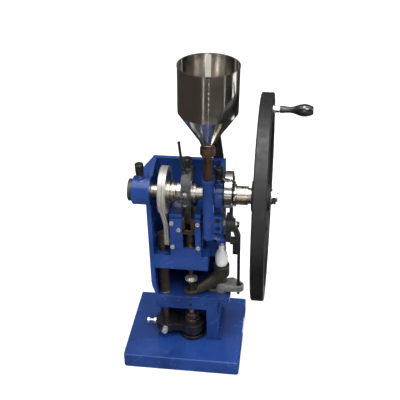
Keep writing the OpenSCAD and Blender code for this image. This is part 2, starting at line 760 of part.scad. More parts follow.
module rocker_rod() {
  color([0.03, 0.03, 0.03]) union() {
    block(104, 127, shoe_y - 7, shoe_y + 7, 298, 303);
    block(110, 126.7, shoe_y - 7, shoe_y + 7, 271, 299);
    round_z(160, 272, feed_rod_x, shoe_y, 3.6);
    round_z(154, 161, feed_rod_x, shoe_y, 3.2);
  }
}
module cam_roller() {
  color([0.8, 0.8, 0.8]) union() {
    round_x(91, 100.5, roller_y, roller_z, 10);
    round_x(100, 111, roller_y, roller_z, 3.95);
    round_x(109.3, 111, roller_y, roller_z, 6);
  }
}
// local frame of the feed shoe: origin at its pivot, +X towards the die
module shoe_frame() {
  translate([shoe_x, shoe_y, 0]) rotate([0, 0, atan2(shaft_y - shoe_y, punch_x - shoe_x)]) children();
}
// bent casting from the socket under the funnel cup down to a ring over the die
module feed_shoe() {
  reach = norm([punch_x - shoe_x, shaft_y - shoe_y]);
  low = table_z + 0.3;
  color([0.17, 0.14, 0.11]) difference() {
    union() {
      round_z(214, 236, shoe_x, shoe_y, 18);
      shoe_frame() {
        hull() {
          round_z(210, 216, 0, 0, 18);
          ball(6, 0, 203, 16);
        }
        hull() {
          ball(6, 0, 203, 16);
          ball(31, 0, 184, 14);
        }
        hull() {
          ball(31, 0, 184, 14);
          round_z(low, 171.5, reach - 4, 0, 12, 32);
        }
      }
      round_z(low, 171.5, punch_x, shaft_y, 14);
      round_z(low, 171.5, punch_x - 6, shaft_y - 3, 11);
    }
    shoe_frame() {
      hull() {
        round_z(222, 226, 0, 0, 8, 32);
        ball(8, 0, 205, 8);
      }
      hull() {
        ball(8, 0, 205, 8);
        ball(32, 0, 185, 7);
      }
      hull() {
        ball(32, 0, 185, 7);
        ball(58, 0, 170, 3);
      }
      round_z(172, 190, reach, 0, 15.5);
    }
    round_z(table_z - 1, 190, punch_x, shaft_y, 8.5);
    round_z(226, 237, shoe_x, shoe_y, 9);
    round_z(table_z, hub_top + 0.1, shoe_x, shoe_y, 15.3);
  }
}
module feed_lever() {
  color([0.45, 0.45, 0.44]) difference() {
    union() {
      round_z(table_z + 0.3, hub_top, shoe_x, shoe_y, 15);
      hull() {
        round_z(167, 182, shoe_x, shoe_y, 14, 32);
        round_z(167, 182, feed_rod_x + 1.6, shoe_y, 11, 32);
        round_z(167, 182, 108, 8, 8, 32);
      }
      block(shoe_x - 26, shoe_x, shoe_y - 9, shoe_y + 3, table_z + 0.3, 167.5);
      round_z(table_z + 0.3, 167.5, shoe_x - 26, shoe_y - 3, 6);
    }
    round_z(table_z - 1, 178, shoe_x, shoe_y, 5.05);
    block(feed_rod_x, feed_rod_x + 3, shoe_y - 5.1, shoe_y + 5.1, 160, 185);
    for (x = [feed_rod_x, feed_rod_x + 3]) round_z(160, 185, x, shoe_y, 5.1);
  }
}
module funnel_cup() {
  outside = [[7, 229], [8.9, 229], [8.9, 236.1], [11.4, 236.1], [13, 240], [14, 246], [14.3, 252], [14, 259],
    [12.6, 267], [10.4, 273], [8, 276.6], [6.35, 278.4], [6.35, 300]];
  inside = [[5.2, 300], [5.2, 277], [9, 271], [11.2, 265], [12.4, 258], [12.5, 251], [11.8, 245],
    [9.6, 240.4], [7, 238]];
  color([0.75, 0.75, 0.73]) translate([shoe_x, shoe_y, 0]) rotate_extrude($fn = 72)
    polygon(concat(outside, inside));
}
// frame of the hopper above its neck
module lean() {
  translate([hopper_x, hopper_y, neck_z]) rotate([0, hopper_lean, 0]) translate([0, 0, -neck_z]) children();
}
module hopper() {
  t = 1.2;
  z0 = hopper_top - hopper_wall;
  shell = [[hopper_r - t, z0], [hopper_r, z0], [hopper_r, hopper_top - 3], [hopper_r + 0.8, hopper_top - 2],
    [hopper_r + 0.8, hopper_top], [hopper_r - t, hopper_top]];
  color([0.75, 0.75, 0.76]) lean() rotate_extrude($fn = 120) polygon(shell);
}
module hopper_cone() {
  t = 1.2;
  z0 = hopper_top - hopper_wall;
  shell = [[11, neck_z], [12.5, neck_z], [hopper_r, z0], [hopper_r - t, z0], [11, neck_z + 0.5]];
  color([0.75, 0.75, 0.76]) difference() {
    union() {
      lean() rotate_extrude($fn = 120) polygon(shell);
      round_z(541, neck_z + 0.8, hopper_x, hopper_y, 12.5);
    }
    round_z(540, neck_z + 1, hopper_x, hopper_y, 11);
  }
}
module hopper_collar() {
  color([0.38, 0.3, 0.24]) difference() {
    union() {
      hex_z(540, 557, hopper_x, hopper_y, 27);
      round_z(557, 564.8, hopper_x, hopper_y, 13.6);
      round_z(post_top, 541, hopper_x, hopper_y, 9.4);
      round_z(372, post_top, hopper_x, hopper_y, 8.9);
    }
    round_z(371, 542, hopper_x, hopper_y, 7);
    round_z(541, 566, hopper_x, hopper_y, 12.55);
  }
}

base_plate();
socket_screws();
pedestal();
die_table();
column();
frame_bolts();
die();
bearing_bushes();
oil_cup_bodies();
left_oil_cup_cap();
right_oil_cup_cap();
keeper_plates();
keeper_screws();
plunger_bush();
rod_sleeve();
lower_guide_cup();
feed_post();
hopper_stay();
rocker_stud();
shoe_pin();
main_shaft();
lifting_sheave();
shaft_collar();
eccentric_sheave();
feed_cam();
shaft_sleeves();
flywheel();
flywheel_key();
flywheel_nut();
handle_spindle();
set_screws();
handle_grip();
strap_lower();
strap_cap();
strap_bolts();
strap_oil_cup();
crosshead_pin();
lock_lever();
end_dowel();
plunger();
punch_nut();
upper_punch();
lifting_link();
link_pin();
gallery_plug();
lifting_rod();
lifting_arm();
arm_bolts();
lower_stem();
regulator_nuts();
lower_punch();
rocker_arm();
rocker_rod();
cam_roller();
feed_shoe();
feed_lever();
funnel_cup();
hopper();
hopper_cone();
hopper_collar();
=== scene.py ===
import json
import math

import bmesh
import bpy
from mathutils import Matrix, Vector


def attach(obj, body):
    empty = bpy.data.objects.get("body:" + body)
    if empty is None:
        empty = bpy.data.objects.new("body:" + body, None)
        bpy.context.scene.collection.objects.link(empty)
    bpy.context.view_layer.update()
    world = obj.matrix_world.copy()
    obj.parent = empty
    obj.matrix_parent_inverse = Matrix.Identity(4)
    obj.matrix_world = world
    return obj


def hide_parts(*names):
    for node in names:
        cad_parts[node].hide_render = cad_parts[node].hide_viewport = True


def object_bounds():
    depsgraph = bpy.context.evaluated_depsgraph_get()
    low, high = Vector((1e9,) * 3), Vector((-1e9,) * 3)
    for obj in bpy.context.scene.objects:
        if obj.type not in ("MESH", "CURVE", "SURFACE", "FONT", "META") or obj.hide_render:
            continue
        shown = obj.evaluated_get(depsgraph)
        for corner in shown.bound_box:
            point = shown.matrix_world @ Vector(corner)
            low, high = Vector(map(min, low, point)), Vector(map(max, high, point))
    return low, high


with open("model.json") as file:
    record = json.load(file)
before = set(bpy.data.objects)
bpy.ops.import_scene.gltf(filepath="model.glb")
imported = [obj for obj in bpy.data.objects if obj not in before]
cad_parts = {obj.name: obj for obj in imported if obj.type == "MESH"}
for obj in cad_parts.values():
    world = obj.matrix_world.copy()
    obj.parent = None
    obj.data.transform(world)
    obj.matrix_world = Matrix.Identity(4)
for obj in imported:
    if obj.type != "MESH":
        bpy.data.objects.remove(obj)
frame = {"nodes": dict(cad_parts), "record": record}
cad_low, cad_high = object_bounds()
NODES = frame["nodes"]


# ---------------------------------------------------------------- camera, floor and light

CAMERA_PLACE = Vector((0.2200, -1.2719, 1.2235))
CAMERA_YAW = math.radians(8.15)
CAMERA_PITCH = math.radians(32.65)
CAMERA_ROLL = math.radians(-1.29)
CAMERA_LENS = 63.86
SENSOR_WIDTH = 36.0

FLOOR_HALF = 40.0
FLOOR_GAP = 0.0005
WALL_RADIUS = 30.0
WALL_HEIGHT = 40.0
WALL_FOOT = -0.01
WALL_STEPS = 72

SUN_STRENGTH = 2.1
SUN_ANGLE = math.radians(70)
SUN_TILT = (math.radians(12), math.radians(6), 0)

# metres from the middle of the object, and heights above the floor
FLAG_INNER = 0.05
FLAG_RADIUS = 1.05
FLAG_HEIGHT = 0.75
FLAG_LIFT = 0.002
FLAG_STEPS = 24
NEAR_FLAG_RADIUS = 1.02
NEAR_FLAG_HEIGHT = 0.004
FAR_FLAG_INNER = 1.16
FAR_FLAG_RADIUS = 2.4
FAR_FLAG_HEIGHT = 0.02


def make_camera():
    data = bpy.data.cameras.new("camera")
    data.lens = CAMERA_LENS
    data.sensor_width = SENSOR_WIDTH
    cam = bpy.data.objects.new("camera", data)
    bpy.context.collection.objects.link(cam)
    turn = Matrix.Rotation(CAMERA_YAW, 4, "Z") @ Matrix.Rotation(math.pi / 2 - CAMERA_PITCH, 4, "X")
    cam.matrix_world = Matrix.Translation(CAMERA_PLACE) @ turn @ Matrix.Rotation(CAMERA_ROLL, 4, "Z")
    bpy.context.scene.camera = cam


def area_light(name, place, target, size, size_y, watts):
    data = bpy.data.lights.new(name, "AREA")
    data.shape = "RECTANGLE"
    data.size = size
    data.size_y = size_y
    data.energy = watts
    lamp = bpy.data.objects.new(name, data)
    bpy.context.collection.objects.link(lamp)
    lamp.location = place
    lamp.rotation_mode = "QUATERNION"
    lamp.rotation_quaternion = (Vector(target) - Vector(place)).to_track_quat("-Z", "Y")
    return lamp


def make_floor():
    r = FLOOR_HALF
    mesh = bpy.data.meshes.new("floor")
    mesh.from_pydata([(-r, -r, 0), (r, -r, 0), (r, r, 0), (-r, r, 0)], [], [(0, 1, 2, 3)])
    floor = bpy.data.objects.new("floor", mesh)
    bpy.context.collection.objects.link(floor)
    floor.location.z = cad_low.z - FLOOR_GAP
    material = bpy.data.materials.new("floor")
    material.use_nodes = True
    shader = material.node_tree.nodes["Principled BSDF"]
    shader.inputs["Base Color"].default_value = (0.93, 0.93, 0.92, 1)
    shader.inputs["Roughness"].default_value = 0.6
    mesh.materials.append(material)


def make_world():
    """A sky that is dark at the horizon and white overhead."""
    world = bpy.data.worlds.new("studio")
    bpy.context.scene.world = world
    world.use_nodes = True
    nodes, links = world.node_tree.nodes, world.node_tree.links
    way = nodes.new("ShaderNodeTexCoord")
    split = nodes.new("ShaderNodeSeparateXYZ")
    lift = nodes.new("ShaderNodeMapRange")
    ramp = nodes.new("ShaderNodeValToRGB")
    links.new(way.outputs["Generated"], split.inputs[0])
    links.new(split.outputs["Z"], lift.inputs["Value"])
    lift.inputs["From Min"].default_value = -0.1
    links.new(lift.outputs[0], ramp.inputs[0])
    stops = ramp.color_ramp
    stops.elements[0].position = 0.0
    stops.elements[0].color = (0.10, 0.09, 0.085, 1)
    stops.elements[1].position = 1.0
    stops.elements[1].color = (1.0, 1.0, 1.0, 1)
    low_sky = stops.elements.new(0.62)
    low_sky.color = (0.16, 0.15, 0.14, 1)
    links.new(ramp.outputs[0], nodes["Background"].inputs["Color"])
    nodes["Background"].inputs["Strength"].default_value = 1.0


def make_lights():
    # name, place, what it points at, width, height, watts
    area_light("key", (0.9, -1.3, 2.3), (0, 0, 0.25), 0.8, 0.8, 25)
    sheen = area_light("front_softbox", (0.5, -3.2, 1.35), (0.05, 0, 0.45), 1.4, 0.9, 18)
    sheen.visible_diffuse = False
    area_light("left_softbox", (-1.8, -1.2, 1.7), (0, 0, 0.3), 0.5, 1.5, 18)
    area_light("top", (0.05, -0.2, 2.9), (0.05, 0, 0.0), 0.55, 1.6, 34)
    sky = bpy.data.lights.new("soft_sky", "SUN")
    sky.energy = SUN_STRENGTH
    sky.angle = SUN_ANGLE
    lamp = bpy.data.objects.new("soft_sky", sky)
    bpy.context.collection.objects.link(lamp)
    lamp.rotation_euler = SUN_TILT
    area_light("right_softbox", (2.0, -0.4, 0.9), (0.1, 0, 0.4), 0.5, 1.4, 16)
    bpy.context.scene.view_settings.view_transform = "Standard"


def glowing_card(name, shape, colour):
    """A stage object of one even colour that throws no shadow and lights no matt surface."""
    mesh = bpy.data.meshes.new(name)
    shape.to_mesh(mesh)
    shape.free()
    card = bpy.data.objects.new(name, mesh)
    bpy.context.collection.objects.link(card)
    card.visible_diffuse = False
    card.visible_shadow = False
    card.visible_transmission = False
    material = bpy.data.materials.new(name)
    material.use_nodes = True
    shader = material.node_tree.nodes["Principled BSDF"]
    shader.inputs["Base Color"].default_value = (0, 0, 0, 1)
    shader.inputs["Specular IOR Level"].default_value = 0
    shader.inputs["Emission Color"].default_value = (*colour, 1)
    shader.inputs["Emission Strength"].default_value = 1
    mesh.materials.append(material)
    return card


def flag(name, start, end, inner, outer, rise, colour):
    """A dark studio flag seen only in reflections: a ring sector just above the floor with a wall at its rim.
    Angles are in degrees about the object, 0 towards -Y and 90 towards +X."""
    shape = bmesh.new()
    rows = []
    for radius, z in ((inner, FLAG_LIFT), (outer, FLAG_LIFT), (outer, rise)):
        row = []
        for i in range(FLAG_STEPS + 1):
            a = math.radians(start + (end - start) * i / FLAG_STEPS)
            row.append(shape.verts.new((radius * math.sin(a), -radius * math.cos(a), z)))
        rows.append(row)
    for low_row, high_row in zip(rows, rows[1:]):
        for i in range(FLAG_STEPS):
            shape.faces.new((low_row[i], low_row[i + 1], high_row[i + 1], high_row[i]))
    glowing_card(name, shape, colour).visible_camera = False


def make_flags():
    brown = (0.060, 0.047, 0.038)
    flag("flag_left", -175, -8, FLAG_INNER, FLAG_RADIUS, FLAG_HEIGHT, brown)
    flag("flag_front_near", -8, 66, FLAG_INNER, NEAR_FLAG_RADIUS, NEAR_FLAG_HEIGHT, brown)
    flag("flag_front_far", -8, 66, FAR_FLAG_INNER, FAR_FLAG_RADIUS, FAR_FLAG_HEIGHT, brown)
    flag("flag_right", 66, 100, FLAG_INNER, FLAG_RADIUS, FLAG_HEIGHT, (0.02, 0.018, 0.016))
    flag("flag_back", 120, 185, FLAG_INNER, FLAG_RADIUS, FLAG_HEIGHT, brown)


def backdrop():
    """A pale studio wall all round that is seen directly only: it shows in no reflection either."""
    shape = bmesh.new()
    rows = []
    for z in (WALL_FOOT, WALL_HEIGHT):
        row = []
        for i in range(WALL_STEPS):
            a = 2 * math.pi * i / WALL_STEPS
            row.append(shape.verts.new((WALL_RADIUS * math.cos(a), WALL_RADIUS * math.sin(a), z)))
        rows.append(row)
    for i in range(WALL_STEPS):
        j = (i + 1) % WALL_STEPS
        shape.faces.new((rows[0][i], rows[0][j], rows[1][j], rows[1][i]))
    glowing_card("backdrop", shape, (0.91, 0.905, 0.89)).visible_glossy = False


# ---------------------------------------------------------------- materials


class Shader:
    """A short way to write a node material: each method adds one node and returns its output."""

    def __init__(self, name, base, metallic, roughness, coat=0.0, coat_roughness=0.08):
        self.material = bpy.data.materials.new(name)
        self.material.use_nodes = True
        tree = self.material.node_tree
        self.nodes, self.links = tree.nodes, tree.links
        self.bsdf = self.nodes["Principled BSDF"]
        self.bsdf.inputs["Base Color"].default_value = (*base, 1)
        self.bsdf.inputs["Metallic"].default_value = metallic
        self.bsdf.inputs["Roughness"].default_value = roughness
        if metallic == 0:
            self.bsdf.inputs["Specular IOR Level"].default_value = 0.32
        if coat:
            self.bsdf.inputs["Coat Weight"].default_value = coat
            self.bsdf.inputs["Coat Roughness"].default_value = coat_roughness
        self.place = self.nodes.new("ShaderNodeTexCoord").outputs["Object"]

    def _put(self, socket, value):
        if hasattr(value, "is_linked"):
            self.links.new(value, socket)
        else:
            socket.default_value = value

    def stretched(self, scale):
        node = self.nodes.new("ShaderNodeMapping")
        self.links.new(self.place, node.inputs["Vector"])
        node.inputs["Scale"].default_value = scale
        return node.outputs[0]

    def noise(self, scale, detail=4.0, rough=0.55, place=None):
        node = self.nodes.new("ShaderNodeTexNoise")
        self.links.new(place or self.place, node.inputs["Vector"])
        node.inputs["Scale"].default_value = scale
        node.inputs["Detail"].default_value = detail
        node.inputs["Roughness"].default_value = rough
        return node.outputs["Fac"]

    def cells(self, scale):
        node = self.nodes.new("ShaderNodeTexVoronoi")
        self.links.new(self.place, node.inputs["Vector"])
        node.inputs["Scale"].default_value = scale
        return node.outputs["Distance"]

    def ramp(self, value, low, high, to_low=0.0, to_high=1.0):
        node = self.nodes.new("ShaderNodeMapRange")
        self.links.new(value, node.inputs["Value"])
        for name, number in (("From Min", low), ("From Max", high), ("To Min", to_low), ("To Max", to_high)):
            node.inputs[name].default_value = number
        return node.outputs[0]

    def math(self, operation, a, b):
        node = self.nodes.new("ShaderNodeMath")
        node.operation = operation
        node.use_clamp = True
        self._put(node.inputs[0], a)
        self._put(node.inputs[1], b)
        return node.outputs[0]

    def mix(self, factor, a, b):
        node = self.nodes.new("ShaderNodeMix")
        node.data_type = "RGBA"
        self._put(node.inputs["Factor"], factor)
        for socket, value in ((node.inputs[6], a), (node.inputs[7], b)):
            self._put(socket, (*value, 1) if isinstance(value, tuple) else value)
        return node.outputs[2]

    def edges(self, width, low=0.02, high=0.25):
        """1 on convex and concave edges, 0 on open faces."""
        bevel = self.nodes.new("ShaderNodeBevel")
        bevel.samples = 4
        bevel.inputs["Radius"].default_value = width
        geometry = self.nodes.new("ShaderNodeNewGeometry")
        dot = self.nodes.new("ShaderNodeVectorMath")
        dot.operation = "DOT_PRODUCT"
        self.links.new(bevel.outputs[0], dot.inputs[0])
        self.links.new(geometry.outputs["Normal"], dot.inputs[1])
        return self.ramp(dot.outputs["Value"], 1 - low, 1 - high)

    def round_normal(self, width):
        """The shading normal with every edge and inner corner rounded to this radius."""
        node = self.nodes.new("ShaderNodeBevel")
        node.samples = 6
        node.inputs["Radius"].default_value = width
        return node.outputs[0]

    def corners(self, distance):
        """1 in tight corners, 0 in the open, from the ambient occlusion: painted shade for most finishes,
        dust on plastic.
        """
        node = self.nodes.new("ShaderNodeAmbientOcclusion")
        node.samples = 6
        node.inputs["Distance"].default_value = distance
        return self.ramp(node.outputs["AO"], 0.75, 0.25)

    def bump(self, height, strength, distance, after=None):
        node = self.nodes.new("ShaderNodeBump")
        node.inputs["Strength"].default_value = strength
        node.inputs["Distance"].default_value = distance
        self.links.new(height, node.inputs["Height"])
        if after is not None:
            self.links.new(after, node.inputs["Normal"])
        return node.outputs[0]

    def set(self, **sockets):
        names = {"colour": "Base Color", "roughness": "Roughness", "normal": "Normal", "metallic": "Metallic"}
        for key, value in sockets.items():
            self.links.new(value, self.bsdf.inputs[names[key]])


def enamel(name, base, roughness=0.2, coat=0.25, peel=1.0, worn=0.5, chip=(0.30, 0.31, 0.33)):
    """Sprayed enamel over a casting: orange peel, faint cloudiness, painted shade in the corners and lightly
    worn edges.
    """
    s = Shader(name, base, 0.0, roughness, coat)
    deep = tuple(c * 0.62 for c in base)
    light = tuple(min(1, c * 1.25 + 0.004) for c in base)
    cloud = s.ramp(s.noise(9, 5), 0.3, 0.7)
    tone = s.mix(cloud, deep, light)
    # painted shade: the enamel turns darker in tight corners, from the ambient occlusion
    tone = s.mix(s.math("MULTIPLY", s.corners(0.02), 0.55), tone, tuple(c * 0.35 for c in base))
    spots = s.ramp(s.noise(160, 6, 0.7), 0.56, 0.66)
    wear = s.math("MULTIPLY", s.math("MULTIPLY", s.edges(0.0016), spots), worn)
    s.set(colour=s.mix(wear, tone, chip))
    grime = s.ramp(s.noise(38, 6, 0.65), 0.35, 0.75, roughness * 0.8, roughness * 1.7)
    s.set(roughness=grime)
    waves = s.bump(s.noise(24, 3), 0.10 * peel, 0.002, s.round_normal(0.0022))
    s.set(normal=s.bump(s.noise(520, 2), 0.10 * peel, 0.0004, waves))
    return s.material


def turned(name, base, roughness, axis, marks=0.25, tint=(0.42, 0.36, 0.28), stain=0.35, metallic=1.0):
    """Steel turned or ground about one axis: fine rings across it, soft stains, brighter worn edges."""
    s = Shader(name, base, metallic, roughness)
    scale = {"X": (1, 0.02, 0.02), "Y": (0.02, 1, 0.02), "Z": (0.02, 0.02, 1)}[axis]
    fine = s.noise(1400, 3, 0.6, s.stretched(scale))
    broad = s.noise(240, 3, 0.5, s.stretched(scale))
    stains = s.math("MULTIPLY", s.ramp(s.noise(30, 6, 0.6), 0.42, 0.72), stain)
    tone = s.mix(stains, base, tint)
    # painted shade: the steel turns darker in tight corners, from the ambient occlusion
    tone = s.mix(s.math("MULTIPLY", s.corners(0.012), 0.6), tone, tuple(c * 0.25 for c in base))
    s.set(colour=s.mix(s.math("MULTIPLY", s.edges(0.0008), 0.35), tone, (0.85, 0.85, 0.84)))
    s.set(roughness=s.ramp(broad, 0.25, 0.75, roughness * 0.6, roughness * 1.6))
    bands = s.bump(broad, marks * 0.5, 0.0004, s.round_normal(0.0006))
    s.set(normal=s.bump(fine, marks, 0.00025, bands))
    return s.material


def rough_cast(name, base, roughness=0.55, grain=0.7, metallic=0.75, fresh=(0.42, 0.42, 0.40)):
    """Bare sand casting: pitted grain, dark pores and rubbed edges."""
    s = Shader(name, base, metallic, roughness)
    lumps = s.noise(150, 6, 0.65)
    pits = s.ramp(s.cells(420), 0.05, 0.35)
    dark = tuple(c * 0.45 for c in base)
    light = tuple(min(1, c * 1.35) for c in base)
    tone = s.mix(s.ramp(lumps, 0.3, 0.7), dark, light)
    # painted shade: the casting turns darker in tight corners, from the ambient occlusion
    tone = s.mix(s.math("MULTIPLY", s.corners(0.015), 0.6), tone, tuple(c * 0.2 for c in base))
    rub = s.math("MULTIPLY", s.edges(0.0016), s.ramp(s.noise(60, 4), 0.3, 0.6, 0.15, 0.9))
    s.set(colour=s.mix(rub, tone, fresh))
    s.set(roughness=s.ramp(lumps, 0.3, 0.7, roughness * 0.75, roughness * 1.3))
    waves = s.bump(lumps, 0.6 * grain, 0.0012, s.round_normal(0.0020))
    s.set(normal=s.bump(pits, 0.25 * grain, 0.0005, waves))
    return s.material


def moulded(name, base, roughness, coat=0.0, scratches=0.3):
    """Moulded plastic: a faint grain, hair scratches and a trace of dust in the corners."""
    s = Shader(name, base, 0.0, roughness, coat)
    dust = s.math("MULTIPLY", s.corners(0.01), 0.25)
    dull = tuple(c * 0.85 for c in base)
    fresh = tuple(min(1, c * 1.12) for c in base)
    tone = s.mix(s.ramp(s.noise(14, 4), 0.3, 0.7), dull, fresh)
    s.set(colour=s.mix(dust, tone, (0.20, 0.18, 0.15)))
    hair = s.noise(900, 2, 0.5, s.stretched((0.06, 1, 0.4)))
    s.set(roughness=s.ramp(hair, 0.35, 0.7, roughness * 0.8, roughness * (1.2 + scratches)))
    s.set(normal=s.bump(s.noise(700, 2), 0.06, 0.0003))
    return s.material


def spun_steel(name):
    """The hopper: spun and polished stainless steel, with drawn rings and faint handling smears."""
    s = Shader(name, (0.66, 0.64, 0.61), 1.0, 0.13)
    rings = s.noise(2200, 2, 0.5, s.stretched((0.01, 0.01, 1)))
    broad = s.noise(90, 3, 0.5, s.stretched((0.05, 0.05, 1)))
    smear = s.noise(16, 5, 0.6)
    s.set(colour=s.mix(s.ramp(smear, 0.35, 0.75, 0, 0.5), (0.66, 0.64, 0.61), (0.50, 0.45, 0.39)))
    blend = s.math("ADD", s.math("MULTIPLY", smear, 0.6), s.math("MULTIPLY", broad, 0.4))
    s.set(roughness=s.ramp(blend, 0.3, 0.7, 0.09, 0.2))
    s.set(normal=s.bump(rings, 0.05, 0.0002, s.bump(broad, 0.05, 0.0006)))
    return s.material


def make_materials():
    blue = (0.0095, 0.038, 0.180)
    brown = (0.23, 0.185, 0.145)
    bronze = (0.55, 0.38, 0.17)
    warm = (0.48, 0.43, 0.35)
    pipe = (0.20, 0.125, 0.085)
    return {
        "blue": enamel("blue_enamel", blue),
        "black": enamel("black_enamel", (0.008, 0.008, 0.009), 0.3, 0.15, worn=0.35),
        "wheel": enamel("wheel_enamel", (0.006, 0.006, 0.007), 0.42, 0.0, peel=0.8, worn=0.25),
        "bright_x": turned("bright_steel_x", (0.44, 0.43, 0.40), 0.28, "X", marks=0.12),
        "bright_z": turned("bright_steel_z", (0.68, 0.67, 0.65), 0.22, "Z", metallic=0.8),
        "bright_y": turned("bright_steel_y", (0.72, 0.72, 0.71), 0.2, "Y", stain=0.15, metallic=0.7),
        "polished_x": turned("polished_steel_x", (0.66, 0.65, 0.63), 0.14, "X", marks=0.1, stain=0.2),
        "brown_z": turned("brown_steel_z", brown, 0.34, "Z", marks=0.3, tint=(0.14, 0.09, 0.06), stain=0.6),
        "pipe": turned("brown_pipe", pipe, 0.36, "Z", marks=0.2, tint=(0.10, 0.06, 0.04), stain=0.5),
        "warm_x": turned("warm_steel_x", warm, 0.26, "X", marks=0.18, tint=(0.30, 0.24, 0.16)),
        "link": turned("link_steel", (0.36, 0.345, 0.32), 0.30, "X", marks=0.1, stain=0.2, metallic=0.5),
        # a light finish for the inner weld band, which doubles as a painted highlight
        "weld_painted_highlight": turned("ground_weld_painted_highlight", (0.80, 0.80, 0.76), 0.42, "Z", marks=0.2, stain=0.15, metallic=0.45),
        "tool": turned("tool_steel", (0.72, 0.72, 0.73), 0.1, "Z", marks=0.08, stain=0.1),
        "bronze": turned("bronze", bronze, 0.28, "Z", marks=0.3, tint=(0.25, 0.15, 0.07)),
        "cast": rough_cast("bare_casting", (0.30, 0.30, 0.29)),
        "dark_iron": rough_cast("dark_iron", (0.030, 0.030, 0.032), 0.38, 0.3, 0.3, (0.12, 0.12, 0.12)),
        "strap": rough_cast("dark_casting", (0.048, 0.051, 0.054), 0.42, 0.45, 0.5, (0.22, 0.22, 0.22)),
        "shoe": rough_cast("bronze_casting", (0.050, 0.042, 0.033), 0.40, 0.35, 0.55, (0.22, 0.17, 0.11)),
        "grip": moulded("black_grip", (0.008, 0.008, 0.009), 0.12, 0.6),
        "knob": moulded("black_knob", (0.012, 0.012, 0.013), 0.28, 0.2),
        "white": moulded("white_cup", (0.55, 0.55, 0.54), 0.34, 0.1),
        "hopper": spun_steel("spun_steel"),
    }


LOOKS = {
    "blue": "base_plate pedestal die_table column keeper_plates feed_post",
    "black": "lower_guide_cup hopper_stay lifting_arm rocker_rod lock_lever set_screws socket_screws",
    "wheel": "flywheel",
    "bright_x": "main_shaft lifting_sheave eccentric_sheave flywheel_key crosshead_pin link_pin end_dowel",
    "bright_z": "oil_cup_bodies strap_bolts shoe_pin punch_nut",
    "bright_y": "keeper_screws frame_bolts arm_bolts",
    "link": "lifting_link",
    "polished_x": "feed_cam shaft_collar flywheel_nut handle_spindle cam_roller rocker_stud",
    "brown_z": "rod_sleeve lifting_rod lower_stem regulator_nuts plunger upper_punch",
    "pipe": "hopper_collar",
    "warm_x": "shaft_sleeves",
    "tool": "die lower_punch",
    "bronze": "plunger_bush gallery_plug",
    "cast": "feed_lever",
    "dark_iron": "rocker_arm",
    "strap": "strap_lower strap_cap bearing_bushes",
    "shoe": "feed_shoe",
    "grip": "handle_grip",
    "knob": "left_oil_cup_cap right_oil_cup_cap strap_oil_cup",
    "white": "funnel_cup",
    "hopper": "hopper hopper_cone",
}


def dress_nodes(materials):
    for look, names in LOOKS.items():
        for name in names.split():
            mesh = NODES[name].data
            mesh.materials.clear()
            mesh.materials.append(materials[look])


# ---------------------------------------------------------------- castings with rounded edges

BODY_OF = {node: body for body, group in frame["record"]["behaviour"]["bodies"].items() for node in group}
CASTING_SHARP = math.radians(38)
MERGE_DISTANCE = 1e-6
FLAT_ANGLE = math.radians(0.4)
ROUND_SEGMENTS = 3
PIECE_SHARP = math.radians(35)


def rounded_casting(node, radius, material):
    """A CAD casting rebuilt as one clean mesh whose outside edges carry a real rounding."""
    shape = bmesh.new()
    shape.from_mesh(NODES[node].data)
    bmesh.ops.remove_doubles(shape, verts=shape.verts, dist=MERGE_DISTANCE)
    bmesh.ops.dissolve_limit(shape, angle_limit=FLAT_ANGLE, verts=shape.verts, edges=shape.edges)
    edges = [e for e in shape.edges if e.is_manifold and e.is_convex and e.calc_face_angle() > CASTING_SHARP]
    bmesh.ops.bevel(shape, geom=edges, offset=radius, segments=ROUND_SEGMENTS, profile=0.5, affect="EDGES",
                    clamp_overlap=True, offset_type="OFFSET", harden_normals=False)
    bmesh.ops.triangulate(shape, faces=[f for f in shape.faces if len(f.verts) > 4])
    mesh = bpy.data.meshes.new(node + "_rounded")
    shape.to_mesh(mesh)
    shape.free()
    mesh.materials.append(material)
    mesh.polygons.foreach_set("use_smooth", [True] * len(mesh.polygons))
    mesh.set_sharp_from_angle(angle=CASTING_SHARP)
    piece = bpy.data.objects.new(node + "_rounded", mesh)
    bpy.context.collection.objects.link(piece)
    weigh = piece.modifiers.new("weighted_normals", "WEIGHTED_NORMAL")
    weigh.keep_sharp = True
    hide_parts(node)
    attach(piece, BODY_OF[node])


KNOB_STEPS = 48


def turned_piece(name, outline, place, body, material):
    """A small turned piece: an outline of (radius, height) pairs spun about a vertical axis."""
    shape = bmesh.new()
    rings = []
    for radius, height in outline:
        ring = []
        for i in range(KNOB_STEPS):
            a = 2 * math.pi * i / KNOB_STEPS
            ring.append(shape.verts.new((radius * math.cos(a), radius * math.sin(a), height)))
        rings.append(ring)
    for low_ring, high_ring in zip(rings, rings[1:]):
        for i in range(KNOB_STEPS):
            j = (i + 1) % KNOB_STEPS
            shape.faces.new((low_ring[i], low_ring[j], high_ring[j], high_ring[i]))
    shape.faces.new(list(reversed(rings[0])))
    shape.faces.new(rings[-1])
    finish_piece(name, shape, place, body, material)


def finish_piece(name, shape, place, body, material):
    """Makes a new piece of the press from a finished shape, and puts it on its body."""
    mesh = bpy.data.meshes.new(name)
    shape.to_mesh(mesh)
    shape.free()
    mesh.materials.append(material)
    mesh.polygons.foreach_set("use_smooth", [True] * len(mesh.polygons))
    mesh.set_sharp_from_angle(angle=PIECE_SHARP)
    piece = bpy.data.objects.new(name, mesh)
    bpy.context.collection.objects.link(piece)
    piece.location = place
    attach(piece, body)
    return piece


KNOB_PLACE = (0.1218, -0.008, 0.3029)
# radius and height, from the foot up
KNOB_OUTLINE = (
    (0.0030, 0.0), (0.0044, 0.0004), (0.0044, 0.0030), (0.0032, 0.0036), (0.0032, 0.0058),
    (0.0046, 0.0070), (0.0050, 0.0092), (0.0049, 0.0122), (0.0040, 0.0142), (0.0022, 0.0152),
)


def rod_knob():
    """The bright thumb nut on top of the rocker's rod."""
    turned_piece("rod_knob", KNOB_OUTLINE, KNOB_PLACE, "rocker", MATERIALS["bright_z"])


